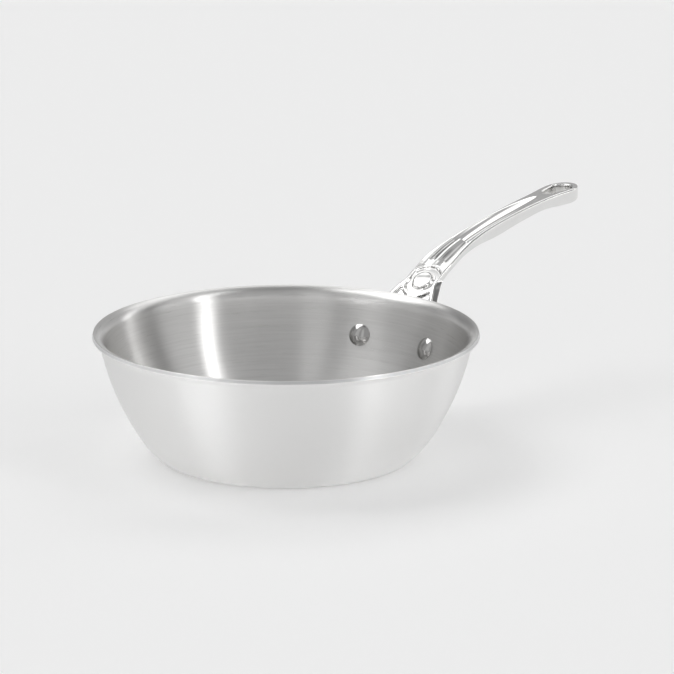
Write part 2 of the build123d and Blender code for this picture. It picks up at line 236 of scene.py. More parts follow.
def normal_step(distance, turn):
    """Step along a profile's outward normal, (sin, -cos) of its turn from level, times a distance."""
    angle = math.radians(turn)
    return np.array([math.sin(angle), -math.cos(angle)]) * distance


CORNER_CENTRE = np.array([BASE_FLAT_RADIUS, CORNER_RADIUS])
LOWER_CENTRE = CORNER_CENTRE + normal_step(CORNER_RADIUS - LOWER_WALL_RADIUS, CORNER_TURN)
UPPER_CENTRE = LOWER_CENTRE + normal_step(LOWER_WALL_RADIUS - UPPER_WALL_RADIUS, LOWER_WALL_TURN)
LIP_CENTRE = UPPER_CENTRE + normal_step(UPPER_WALL_RADIUS + LIP_CURL_RADIUS, UPPER_WALL_TURN)
LIP_DIRECTION = np.array([math.cos(math.radians(LIP_END_TURN)), math.sin(math.radians(LIP_END_TURN))])
LIP_LAND = (RIM_RADIUS - (LIP_CENTRE - normal_step(LIP_CURL_RADIUS, LIP_END_TURN))[0]) / LIP_DIRECTION[0]
RIM_HEIGHT = (
    LIP_CENTRE - normal_step(LIP_CURL_RADIUS + WALL_THICKNESS, LIP_END_TURN) + LIP_DIRECTION * LIP_LAND
)[1]


def arc(centre, radius, start_turn, end_turn, count):
    """Points of an arc: centre plus radius times (sin, -cos) of turns spread evenly from start to end."""
    turns = np.radians(np.linspace(start_turn, end_turn, count))
    return centre + radius * np.stack([np.sin(turns), -np.cos(turns)], axis=1)


def face_profile(depth):
    """Radius and height along the face a depth inside the outer one: level base, then arcs to the lip."""
    base_radii = np.linspace(0, BASE_FLAT_RADIUS, BASE_POINTS)
    base = np.stack([base_radii, np.full(BASE_POINTS, depth)], axis=1)
    corner = arc(CORNER_CENTRE, CORNER_RADIUS - depth, 0, CORNER_TURN, CORNER_POINTS)
    lower_radius, upper_radius = LOWER_WALL_RADIUS - depth, UPPER_WALL_RADIUS - depth
    lower = arc(LOWER_CENTRE, lower_radius, CORNER_TURN, LOWER_WALL_TURN, LOWER_WALL_POINTS)
    upper = arc(UPPER_CENTRE, upper_radius, LOWER_WALL_TURN, UPPER_WALL_TURN, UPPER_WALL_POINTS)
    curl_radius = -(LIP_CURL_RADIUS + depth)
    curl = arc(LIP_CENTRE, curl_radius, UPPER_WALL_TURN, LIP_END_TURN, LIP_CURL_POINTS)
    land = curl[-1] + LIP_DIRECTION * np.linspace(0, LIP_LAND, LIP_LAND_POINTS)[:, None]
    return np.concatenate([base, corner[1:], lower[1:], upper[1:], curl[1:], land[1:]])


def wall_radius_at(height, depth):
    """Radius of the upper wall at heights, on the face a depth inside the outer one."""
    return UPPER_CENTRE[0] + np.sqrt((UPPER_WALL_RADIUS - depth) ** 2 - (UPPER_CENTRE[1] - height) ** 2)


def rounded_corner(before, corner, after, radius):
    """Points round a right-angled corner: a quarter circle that touches both its sides."""
    back = (before - corner) / np.linalg.norm(before - corner)
    ahead = (after - corner) / np.linalg.norm(after - corner)
    angles = np.linspace(0, math.pi / 2, LIP_EDGE_POINTS)[:, None]
    centre = corner + (back + ahead) * radius
    return centre - radius * (ahead * np.cos(angles) + back * np.sin(angles))


def turned_piece(name, profile):
    """Closed solid of revolution: (radius cos a, radius sin a, height) of a profile from axis to axis."""
    angles = np.linspace(0, 2 * math.pi, TURN_SEGMENTS, endpoint=False)
    radius, height = profile[1:-1, 0], profile[1:-1, 1]
    rings = np.stack(
        [
            radius[:, None] * np.cos(angles),
            radius[:, None] * np.sin(angles),
            np.broadcast_to(height[:, None], (len(radius), TURN_SEGMENTS)),
        ],
        axis=2,
    ).reshape(-1, 3)
    poles = np.array([[0, 0, profile[0, 1]], [0, 0, profile[-1, 1]]])
    vertices = np.concatenate([rings, poles])
    steps = np.linalg.norm(np.diff(profile, axis=0), axis=1)
    along = np.concatenate([[0], np.cumsum(steps)])
    travel = np.concatenate([np.repeat(along[1:-1], TURN_SEGMENTS), [along[0], along[-1]]])
    index = np.arange(len(rings)).reshape(len(radius), TURN_SEGMENTS)
    right = np.roll(index, -1, axis=1)
    quads = np.stack([index[:-1], right[:-1], right[1:], index[1:]], axis=2).reshape(-1, 4)
    first = np.stack([np.full(TURN_SEGMENTS, len(rings)), right[0], index[0]], axis=1)
    last = np.stack([np.full(TURN_SEGMENTS, len(rings) + 1), index[-1], right[-1]], axis=1)
    return mesh_piece(name, vertices, quads, np.concatenate([first, last]), travel=travel)


# Materials


def new_material(name):
    """A material with nodes: itself, its node tree and its main shader."""
    material = bpy.data.materials.new(name)
    material.use_nodes = True
    tree = material.node_tree
    shader = next(node for node in tree.nodes if node.type == "BSDF_PRINCIPLED")
    return material, tree, shader


def math_node(tree, operation, *inputs):
    """Result of one operation on numbers and sockets."""
    node = tree.nodes.new("ShaderNodeMath")
    node.operation = operation
    for socket, value in zip(node.inputs, inputs):
        if isinstance(value, (int, float)):
            socket.default_value = value
        else:
            tree.links.new(value, socket)
    return node.outputs[0]


def round_coordinates(tree, around, along):
    """Place for marks round the z axis: (x, y) over the radius, times around, and travel, times along."""
    place = tree.nodes.new("ShaderNodeTexCoord").outputs["Object"]
    parts = tree.nodes.new("ShaderNodeSeparateXYZ")
    tree.links.new(place, parts.inputs[0])
    squares = [math_node(tree, "MULTIPLY", parts.outputs[i], parts.outputs[i]) for i in range(2)]
    radius = math_node(tree, "SQRT", math_node(tree, "ADD", squares[0], squares[1]))
    radius = math_node(tree, "MAXIMUM", radius, LEAST_RADIUS)
    travel = tree.nodes.new("ShaderNodeAttribute")
    travel.attribute_name = "travel"
    join = tree.nodes.new("ShaderNodeCombineXYZ")
    for i in range(2):
        share = math_node(tree, "DIVIDE", parts.outputs[i], radius)
        tree.links.new(math_node(tree, "MULTIPLY", share, around), join.inputs[i])
    tree.links.new(math_node(tree, "MULTIPLY", travel.outputs["Fac"], along), join.inputs[2])
    return join.outputs[0]


def noise(tree, vector, scale=1.0, detail=2.0, roughness=0.5):
    """Smooth random value from 0 to 1 at a place times the scale."""
    node = tree.nodes.new("ShaderNodeTexNoise")
    node.inputs["Scale"].default_value = scale
    node.inputs["Detail"].default_value = detail
    node.inputs["Roughness"].default_value = roughness
    tree.links.new(vector, node.inputs["Vector"])
    return node.outputs["Fac"]


def ranged(tree, value, low, high):
    """A value from 0 to 1 spread in proportion from low to high."""
    node = tree.nodes.new("ShaderNodeMapRange")
    node.inputs["To Min"].default_value = low
    node.inputs["To Max"].default_value = high
    tree.links.new(value, node.inputs["Value"])
    return node.outputs["Result"]


def bump(tree, height, strength, distance, normal=None):
    """Normal tilted by the slope of a height times a distance in metres."""
    node = tree.nodes.new("ShaderNodeBump")
    node.inputs["Strength"].default_value = strength
    node.inputs["Distance"].default_value = distance
    tree.links.new(height, node.inputs["Height"])
    if normal is not None:
        tree.links.new(normal, node.inputs["Normal"])
    return node.outputs["Normal"]


def tinted(tree, value, dark, light):
    """Colour between a dark and a light one, in proportion to a value from 0 to 1."""
    node = tree.nodes.new("ShaderNodeMix")
    node.data_type = "RGBA"
    tree.links.new(value, node.inputs["Factor"])
    node.inputs[6].default_value = (*dark, 1)
    node.inputs[7].default_value = (*light, 1)
    return node.outputs[2]


def around_axis_sheen(tree, shader, strength):
    """Gloss of lines that run round the z axis: it spreads across the lines."""
    shader.inputs["Anisotropic"].default_value = strength
    shader.inputs["Anisotropic Rotation"].default_value = QUARTER_TURN
    tangent = tree.nodes.new("ShaderNodeTangent")
    tangent.direction_type = "RADIAL"
    tangent.axis = "Z"
    tree.links.new(tangent.outputs[0], shader.inputs["Tangent"])


def outer_polish():
    """Satin polish: soft lengthwise hairlines round the bowl and a slow change of gloss."""
    material, tree, shader = new_material("outer_polish")
    shader.inputs["Metallic"].default_value = 1.0
    around_axis_sheen(tree, shader, 0.9)
    lines = noise(tree, round_coordinates(tree, around=6.0, along=2600.0), detail=3.0)
    patches = noise(tree, round_coordinates(tree, around=1.3, along=22.0), detail=1.0)
    tone = tinted(tree, patches, dark=(0.895, 0.892, 0.885), light=(0.93, 0.928, 0.923))
    tree.links.new(tone, shader.inputs["Base Color"])
    line_gloss = ranged(tree, lines, low=-0.02, high=0.02)
    gloss = math_node(tree, "ADD", line_gloss, ranged(tree, patches, low=0.46, high=0.50))
    tree.links.new(gloss, shader.inputs["Roughness"])
    tree.links.new(bump(tree, lines, strength=0.02, distance=0.00001), shader.inputs["Normal"])
    return material


def inner_brushing():
    """Brushing round the axis: fine lines and broader passes, with a sheen drawn across them."""
    material, tree, shader = new_material("inner_brushing")
    shader.inputs["Metallic"].default_value = 1.0
    around_axis_sheen(tree, shader, 0.85)
    fine = noise(tree, round_coordinates(tree, around=5.0, along=5200.0), detail=3.0)
    passes = noise(tree, round_coordinates(tree, around=2.2, along=700.0), detail=4.0, roughness=0.65)
    tone = tinted(tree, passes, dark=(0.63, 0.624, 0.614), light=(0.81, 0.806, 0.798))
    tree.links.new(tone, shader.inputs["Base Color"])
    fine_gloss = ranged(tree, fine, low=-0.05, high=0.05)
    gloss = math_node(tree, "ADD", fine_gloss, ranged(tree, passes, low=0.27, high=0.32))
    tree.links.new(gloss, shader.inputs["Roughness"])
    fine_normal = bump(tree, fine, strength=0.04, distance=0.00002)
    normal = bump(tree, passes, strength=0.04, distance=0.00002, normal=fine_normal)
    tree.links.new(normal, shader.inputs["Normal"])
    return material


def plain_metal(name, dark, light, gloss_range, scale):
    """Polished metal with a slow, cloudy change of tone and gloss."""
    material, tree, shader = new_material(name)
    shader.inputs["Metallic"].default_value = 1.0
    place = tree.nodes.new("ShaderNodeTexCoord").outputs["Object"]
    clouds = noise(tree, place, scale=scale, detail=3.0)
    tree.links.new(tinted(tree, clouds, dark, light), shader.inputs["Base Color"])
    tree.links.new(ranged(tree, clouds, *gloss_range), shader.inputs["Roughness"])
    return material


def cast_polish(name, gloss_range):
    """Hand-polished casting: faint waves left by the wheel and fine random scratches."""
    material, tree, shader = new_material(name)
    shader.inputs["Metallic"].default_value = 1.0
    place = tree.nodes.new("ShaderNodeTexCoord").outputs["Object"]
    waves = noise(tree, place, scale=90.0, detail=1.0)
    grain = noise(tree, place, scale=1400.0, detail=2.0)
    tone = tinted(tree, waves, dark=(0.77, 0.766, 0.758), light=(0.83, 0.827, 0.82))
    tree.links.new(tone, shader.inputs["Base Color"])
    tree.links.new(ranged(tree, grain, *gloss_range), shader.inputs["Roughness"])
    tree.links.new(bump(tree, waves, strength=0.08, distance=0.00015), shader.inputs["Normal"])
    return material


# Bowl

PLY_CLOUD_SCALE = 120.0
materials = {
    "outer_skin": outer_polish(),
    "inner_skin": inner_brushing(),
    "outer_aluminium": plain_metal(
        "ply_aluminium",
        dark=(0.60,) * 3,
        light=(0.64,) * 3,
        gloss_range=(0.30, 0.34),
        scale=PLY_CLOUD_SCALE,
    ),
    "alloy_core": plain_metal(
        "ply_alloy",
        dark=(0.54,) * 3,
        light=(0.58,) * 3,
        gloss_range=(0.32, 0.36),
        scale=PLY_CLOUD_SCALE,
    ),
}
materials["inner_aluminium"] = materials["outer_aluminium"]

depth = 0.0
for ply, thickness in PLY_THICKNESSES.items():
    outer_face = face_profile(depth)
    inner_face = face_profile(depth + thickness)[::-1]
    if ply == "outer_skin":
        outer_face = np.concatenate(
            [outer_face[:-1], rounded_corner(outer_face[-2], outer_face[-1], inner_face[0], LIP_EDGE_ROUND)]
        )
    if ply == "inner_skin":
        inner_face = np.concatenate(
            [rounded_corner(outer_face[-1], inner_face[0], inner_face[1], LIP_EDGE_ROUND), inner_face[1:]]
        )
    piece = turned_piece("bowl_" + ply, np.concatenate([outer_face, inner_face]))
    piece.data.materials.append(materials[ply])
    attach(piece, "root")
    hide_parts(ply)
    depth += thickness

# Handle: side view and outline


def smooth_line(points, start_direction, end_direction, count=LINE_POINTS):
    """Clamped cubic through points, over the length of its chords: a row of close points along it."""
    points = np.asarray(points, float)
    steps = np.linalg.norm(np.diff(points, axis=0), axis=1)
    places = np.concatenate([[0], np.cumsum(steps)])
    slopes = np.diff(points, axis=0) / steps[:, None]
    ends = np.array([start_direction, end_direction], float)
    slopes = np.concatenate([ends[:1], slopes, ends[1:]])
    bends = np.diag(2 * (np.append(steps, 0) + np.append(0, steps)))
    bends = bends + np.diag(steps, 1) + np.diag(steps, -1)
    curvature = np.linalg.solve(bends, 6 * np.diff(slopes, axis=0))
    travel = np.linspace(0, places[-1], count)
    i = np.clip(np.searchsorted(places, travel, side="right") - 1, 0, len(steps) - 1)
    ahead = ((travel - places[i]) / steps[i])[:, None]
    back = 1 - ahead
    bulge = (back**3 - back) * curvature[i] + (ahead**3 - ahead) * curvature[i + 1]
    return back * points[i] + ahead * points[i + 1] + bulge * steps[i][:, None] ** 2 / 6


def share_curve(shares, value):
    """Smooth value at a share, from a table of (share, value), held level past its ends."""
    line = smooth_line(shares, slope_of(shares[0], shares[1]), slope_of(shares[-2], shares[-1]))
    return np.interp(value, line[:, 0], line[:, 1])


def slope_of(first, second):
    """Unit direction from one point to the next."""
    step = np.subtract(second, first)
    return step / np.linalg.norm(step)


class SideLine:
    """A line of the side view: radius and height along its length, found by length, height or radius."""

    def __init__(self, points):
        self.points = points
        steps = np.linalg.norm(np.diff(points, axis=0), axis=1)
        self.length = np.concatenate([[0], np.cumsum(steps)])
        direction = np.gradient(points, self.length, axis=0)
        self.direction = direction / np.linalg.norm(direction, axis=1)[:, None]

    def place(self, length):
        """Radius and height at a length, in proportion between the line's points."""
        return np.stack([np.interp(length, self.length, self.points[:, i]) for i in range(2)], axis=-1)

    def heading(self, length):
        """Direction of the line at a length."""
        return np.stack([np.interp(length, self.length, self.direction[:, i]) for i in range(2)], axis=-1)

    def at_height(self, height):
        """Length at which the line stands at a height."""
        return np.interp(height, self.points[:, 1], self.length)

    def at_radius(self, radius):
        """Length at which the line stands at a radius."""
        return np.interp(radius, self.points[:, 0], self.length)

    def surface(self, length, side):
        """Point of the line turned round the z axis to a side: (sqrt(radius^2 - side^2), side, height)."""
        place = self.place(length)
        forward = np.sqrt(place[..., 0] ** 2 - side**2)
        return np.stack([forward, side + 0 * forward, place[..., 1]], axis=-1)

    def normal(self, length, side):
        """Upward normal of that turned surface."""
        place, heading = self.place(length), self.heading(length)
        forward = np.sqrt(place[..., 0] ** 2 - side**2) / place[..., 0]
        across = side / place[..., 0]
        return np.stack([-heading[..., 1] * forward, -heading[..., 1] * across, heading[..., 0]], axis=-1)


def wall_turn_direction(height, depth):
    """Direction up the wall at a height, on the face a depth inside the outer one."""
    turn = math.acos((UPPER_CENTRE[1] - height) / (UPPER_WALL_RADIUS - depth))
    return np.array([math.cos(turn), math.sin(turn)])


pad_low = PAD_HEIGHT - PAD_RADIUS - SEAT_OVERRUN
pad_high = PAD_HEIGHT + PAD_RADIUS / 2
lip_start = LIP_CENTRE - normal_step(LIP_CURL_RADIUS, UPPER_WALL_TURN)
top_knots = [
    (wall_radius_at(pad_high, SEAT_OVERRUN), pad_high),
    (lip_start[0] + LIP_GAP, lip_start[1]),
    *[(RIM_RADIUS + a * HANDLE_REACH, RIM_HEIGHT + b * HANDLE_RISE) for a, b in TOP_LINE_SHARES],
]
top_start = wall_turn_direction(pad_high, SEAT_OVERRUN)
top_spline = smooth_line(top_knots, top_start, TOP_END_DIRECTION, SIDE_LINE_POINTS)
under_wall = top_spline[:, 1] < lip_start[1] - LIP_CURL_RADIUS
top_spline[under_wall, 0] = np.maximum(
    top_spline[under_wall, 0], wall_radius_at(top_spline[under_wall, 1], 0)
)
seat_heights = np.linspace(pad_low, pad_high, SEAT_POINTS)[:-1]
top_line = SideLine(
    np.concatenate([np.stack([wall_radius_at(seat_heights, 0), seat_heights], axis=1), top_spline])
)

under_knots = [(wall_radius_at(pad_high, -LEG_DEPTH), pad_high)]
for reach_share, depth_share in UNDER_LINE_SHARES:
    length = top_line.at_radius(RIM_RADIUS + reach_share * HANDLE_REACH)
    place, heading = top_line.place(length), top_line.heading(length)
    under_knots.append(tuple(place + np.array([heading[1], -heading[0]]) * depth_share * GRIP_DEPTH))
under_start = wall_turn_direction(pad_high, -LEG_DEPTH)
under_spline = smooth_line(under_knots, under_start, TOP_END_DIRECTION, SIDE_LINE_POINTS)
under_seat = np.stack([wall_radius_at(seat_heights, -LEG_DEPTH), seat_heights], axis=1)
under_line = SideLine(np.concatenate([under_seat, under_spline]))

# Outline: half widths of the legs at a height, and of the grip at a distance along x
pad_side = wall_radius_at(PAD_HEIGHT, 0) * math.sin(math.radians(RIVET_TURN))
pad_rim = np.array([pad_side, PAD_HEIGHT]) + PAD_RADIUS * np.array(
    [math.cos(math.radians(PAD_OUTER_TURN)), math.sin(math.radians(PAD_OUTER_TURN))]
)
flare_knots = [
    (NECK_HALF_WIDTH, NECK_HEIGHT),
    *[
        (NECK_HALF_WIDTH + a * (pad_side - NECK_HALF_WIDTH), NECK_HEIGHT - b * (NECK_HEIGHT - PAD_HEIGHT))
        for a, b in LEG_FLARE_SHARES
    ],
    tuple(pad_rim),
]
pad_heading = (math.sin(math.radians(PAD_OUTER_TURN)), -math.cos(math.radians(PAD_OUTER_TURN)))
flare = smooth_line(flare_knots, (0.0, -1.0), pad_heading)[::-1]

crotch_drop = CROTCH_HEIGHT - PAD_HEIGHT
tangent_turn = math.atan2(crotch_drop, pad_side) + math.asin(PAD_RADIUS / math.hypot(pad_side, crotch_drop))
inner_turn = 1.5 * math.pi - tangent_turn
inner_direction = np.array([math.cos(inner_turn), math.sin(inner_turn)])
pad_inner = np.array([pad_side, PAD_HEIGHT]) + PAD_RADIUS * inner_direction
leg_lean = math.atan2(pad_inner[0], CROTCH_HEIGHT - pad_inner[1])
crotch_centre = CROTCH_HEIGHT - CROTCH_RADIUS / math.sin(leg_lean)
crotch_low = crotch_centre + CROTCH_RADIUS * math.sin(leg_lean)
crotch_top = crotch_centre + CROTCH_RADIUS


def leg_outer_side(height):
    """Half width of the legs' outside: the pad's circle, then the flare up to the neck."""
    circle = pad_side + np.sqrt(np.maximum(PAD_RADIUS**2 - (height - PAD_HEIGHT) ** 2, 0))
    return np.where(height < pad_rim[1], circle, np.interp(height, flare[:, 1], flare[:, 0]))


def leg_inner_side(height):
    """Half width of the gap between the legs: the pad's circle, a straight side, the crotch's arc."""
    circle = pad_side - np.sqrt(np.maximum(PAD_RADIUS**2 - (height - PAD_HEIGHT) ** 2, 0))
    straight = (CROTCH_HEIGHT - height) * math.tan(leg_lean)
    round_top = np.sqrt(np.maximum(CROTCH_RADIUS**2 - (height - crotch_centre) ** 2, 0))
    side = np.where(height < pad_inner[1], circle, np.where(height < crotch_low, straight, round_top))
    return np.where(height < crotch_top, side, 0)


tip_x = RIM_RADIUS + HANDLE_REACH
eye_x = tip_x - EYE_LENGTH
neck_end_x = RIM_RADIUS + NECK_END_REACH
side_knots = [
    (neck_end_x, NECK_HALF_WIDTH),
    *[(RIM_RADIUS + a * HANDLE_REACH, b * GRIP_HALF_WIDTH) for a, b in GRIP_SIDE_SHARES],
    (eye_x, EYE_HALF_WIDTH),
]
grip_side_line = smooth_line(side_knots, (1.0, 0.0), (1.0, 0.0))
hole_x = tip_x - EYE_HOLE_INSET
hole_neck_x = hole_x - EYE_HOLE_LENGTH
hole_start, hole_end = hole_neck_x - EYE_HOLE_NECK_RADIUS, hole_x + EYE_HOLE_RADIUS
hole_lean = (EYE_HOLE_RADIUS - EYE_HOLE_NECK_RADIUS) / EYE_HOLE_LENGTH


def grip_outer_side(x):
    """Half width of the grip: its waisted side, then the round of the eye."""
    round_end = EYE_HALF_WIDTH * np.sqrt(np.maximum(1 - ((x - eye_x) / EYE_LENGTH) ** 2, 0))
    return np.where(x < eye_x, np.interp(x, grip_side_line[:, 0], grip_side_line[:, 1]), round_end)


def eye_hole_side(x):
    """Half width of the teardrop hole: two circles and the straight lines that touch both."""
    small = np.sqrt(np.maximum(EYE_HOLE_NECK_RADIUS**2 - (x - hole_neck_x) ** 2, 0))
    large = np.sqrt(np.maximum(EYE_HOLE_RADIUS**2 - (x - hole_x) ** 2, 0))
    run = math.sqrt(1 - hole_lean**2)
    small_end = hole_neck_x - EYE_HOLE_NECK_RADIUS * hole_lean
    large_start = hole_x - EYE_HOLE_RADIUS * hole_lean
    straight = (EYE_HOLE_NECK_RADIUS + (x - hole_neck_x) * hole_lean) / run
    side = np.where(x < small_end, small, np.where(x < large_start, straight, large))
    return np.where((x > hole_start) & (x < hole_end), side, 0)


# Handle: relief of the upper side


def smooth_max(a, b, blend):
    """The larger of two values, with a rounded join as wide as the blend."""
    return (a + b + np.sqrt((a - b) ** 2 + blend**2)) / 2


def ramp(value, width):
    """0 below minus half the width, 1 above half of it, and a smooth S between."""
    t = np.clip(value / width + 0.5, 0, 1)
    return t * t * (3 - 2 * t)


medallion_length = top_line.at_radius(RIM_RADIUS + MEDALLION_REACH)
medallion_place, medallion_heading = top_line.place(medallion_length), top_line.heading(medallion_length)
dish_end_reach = hole_start - RIM_RADIUS


def relief(length, side):
    """Height of the upper side over its plain surface, each form let in by a smooth step.

    The dish, the grooves and the tongue are circle arcs across the handle. The moat is a flattened circle
    with the medallion's disc and its low dome in it. The pockets lie below the moat, inside the legs.
    """
    side = np.abs(side)
    place = top_line.place(length)
    reach = place[..., 0] - RIM_RADIUS
    share = (reach - DISH_START_REACH) / (dish_end_reach - DISH_START_REACH)
    dish_depth = DISH_DEPTH * share_curve(DISH_SHARES, share)
    bowl = np.sqrt(np.maximum(DISH_RADIUS**2 - side**2, LEAST_SQUARE)) - (DISH_RADIUS - dish_depth)
    dish = DISH_LIFT - smooth_max(bowl, 0.0, DISH_BLEND)

    share = (reach - GROOVE_START_REACH) / (DISH_START_REACH - GROOVE_START_REACH)
    groove_side = GROOVE_SIDE * share_curve(GROOVE_SIDE_SHARES, share)
    groove_depth = GROOVE_DEPTH * share_curve(GROOVE_DEPTH_SHARES, share)
    offset = np.minimum(np.abs(side - groove_side), GROOVE_RADIUS)
    groove = np.sqrt(GROOVE_RADIUS**2 - offset**2) - (GROOVE_RADIUS - groove_depth)
    groove = GROOVE_LIFT - smooth_max(groove, 0.0, GROOVE_BLEND)
    share = (reach - TONGUE_START_REACH) / (DISH_START_REACH - TONGUE_START_REACH)
    half_width = TONGUE_HALF_WIDTH * share_curve(TONGUE_WIDTH_SHARES, share)
    rise = TONGUE_RISE * share_curve(TONGUE_RISE_SHARES, share)
    crown = (half_width**2 + (rise + TONGUE_SINK) ** 2) / (2 * (rise + TONGUE_SINK))
    tongue = rise - crown + np.sqrt(np.maximum(crown**2 - side**2, 0))
    tongue = np.where(share > 0, tongue, -TONGUE_SINK)
    neck = smooth_max(groove, tongue, GROOVE_BLEND) - GROOVE_LIFT
    height = neck + (dish - neck) * ramp(reach - DISH_START_REACH, DISH_STEP)

    plain = top_line.surface(length, side)
    along = (plain[..., 0] - medallion_place[0]) * medallion_heading[0]
    along = along + (plain[..., 2] - medallion_place[1]) * medallion_heading[1]
    over = (plain[..., 2] - medallion_place[1]) * medallion_heading[0]
    over = over - (plain[..., 0] - medallion_place[0]) * medallion_heading[1]
    from_centre = np.hypot(along, side)
    moat = np.maximum(from_centre - MOAT_RADIUS, side - MOAT_HALF_WIDTH)
    height = height + (-MOAT_DEPTH - over / 2 - height) * ramp(-moat, MOAT_STEP)
    face_radius = MEDALLION_RADIUS - MEDALLION_RIM
    dome = MEDALLION_DOME * np.clip(1 - (from_centre / face_radius) ** 2, 0, 1)
    disc = MEDALLION_LIFT - (MEDALLION_SINK - dome) * ramp(face_radius - from_centre, RIM_STEP)
    height = height + (disc - over / 2 - height) * ramp(MEDALLION_RADIUS - from_centre, MEDALLION_STEP)

    level = place[..., 1] - RIM_HEIGHT
    outside = side - leg_outer_side(place[..., 1]) + POCKET_EDGE
    pocket = smooth_max(MOAT_RADIUS + POCKET_RIB - from_centre, POCKET_INNER_SIDE - side, POCKET_BLEND)
    pocket = smooth_max(smooth_max(pocket, outside, POCKET_BLEND), -POCKET_DROP - level, POCKET_BLEND)
    pocket = np.where(along > 0, POCKET_BLEND, pocket)
    pocket_depth = np.minimum(-POCKET_DEPTH, height)
    height = height + (pocket_depth - height) * ramp(-pocket - POCKET_BLEND / 2, POCKET_STEP)
    return height


# Handle: surface

pad_foot = PAD_HEIGHT - PAD_RADIUS


def outline_rows():
    """Rows across the half handle, by height in the legs and by distance along x in the grip.

    Each row gives the outer and inner side and their lengths along the upper and under lines.
    Rows close up where a side turns in quickly: at the pad's foot, the crotch, the hole and the tip.
    """
    turn = np.linspace(0, 1, OUTLINE_POINTS)
    both_ends = (1 - np.cos(math.pi * turn)) / 2
    leg_heights = pad_foot + (crotch_top - pad_foot) * both_ends
    neck_heights = np.linspace(crotch_top, NECK_HEIGHT, OUTLINE_POINTS)
    grip = np.linspace(neck_end_x, hole_start, OUTLINE_POINTS)
    hole = hole_start + (hole_end - hole_start) * both_ends
    tip = hole_end + (tip_x - hole_end) * np.sin(turn * math.pi / 2)
    stretches = [("leg", leg_heights), ("leg", neck_heights), ("land", turn)]
    stretches = stretches + [("grip", places) for places in (grip, hole, tip)]
    parts = []
    for part, places in stretches:
        columns = {}
        if part == "leg":
            columns["outer"], columns["inner"] = leg_outer_side(places), leg_inner_side(places)
        elif part == "land":
            columns["outer"], columns["inner"] = 0 * places + NECK_HALF_WIDTH, 0 * places
        else:
            columns["outer"], columns["inner"] = grip_outer_side(places), eye_hole_side(places)
        for key, line in (("top", top_line), ("under", under_line)):
            for side in ("outer", "inner"):
                if part == "leg":
                    columns[key + side] = line.at_height(places)
                elif part == "land":
                    end = line.at_radius(math.hypot(neck_end_x, NECK_HALF_WIDTH if side == "outer" else 0))
                    start = line.at_height(NECK_HEIGHT)
                    columns[key + side] = start + (end - start) * places
                else:
                    columns[key + side] = line.at_radius(np.hypot(places, columns[side]))
        parts.append(columns)
    return parts


# Rows of the leg up to the crotch, of the leg above it, the land, the grip, the hole and the tip
ROW_COUNTS = [70, 128, 124, 136, 60, 20]
step_length = top_line.at_radius(RIM_RADIUS + DISH_START_REACH)
# Density of the rows, by distance along the upper line from the step at the dish's start
ROW_DENSITY = [(-12.0, 1.0), (-1.2, 1.6), (-0.6, 3.5), (0.6, 3.5), (2.0, 1.2), (14.0, 0.5)]


def inward_normals(side, length, inward_sign):
    """Unit normals of a boundary in (side, length), turned towards the metal."""
    steps = np.stack([np.gradient(side), np.gradient(length)], axis=1)
    steps /= np.linalg.norm(steps, axis=1)[:, None]
    return np.stack([-steps[:, 1], steps[:, 0]], axis=1) * inward_sign


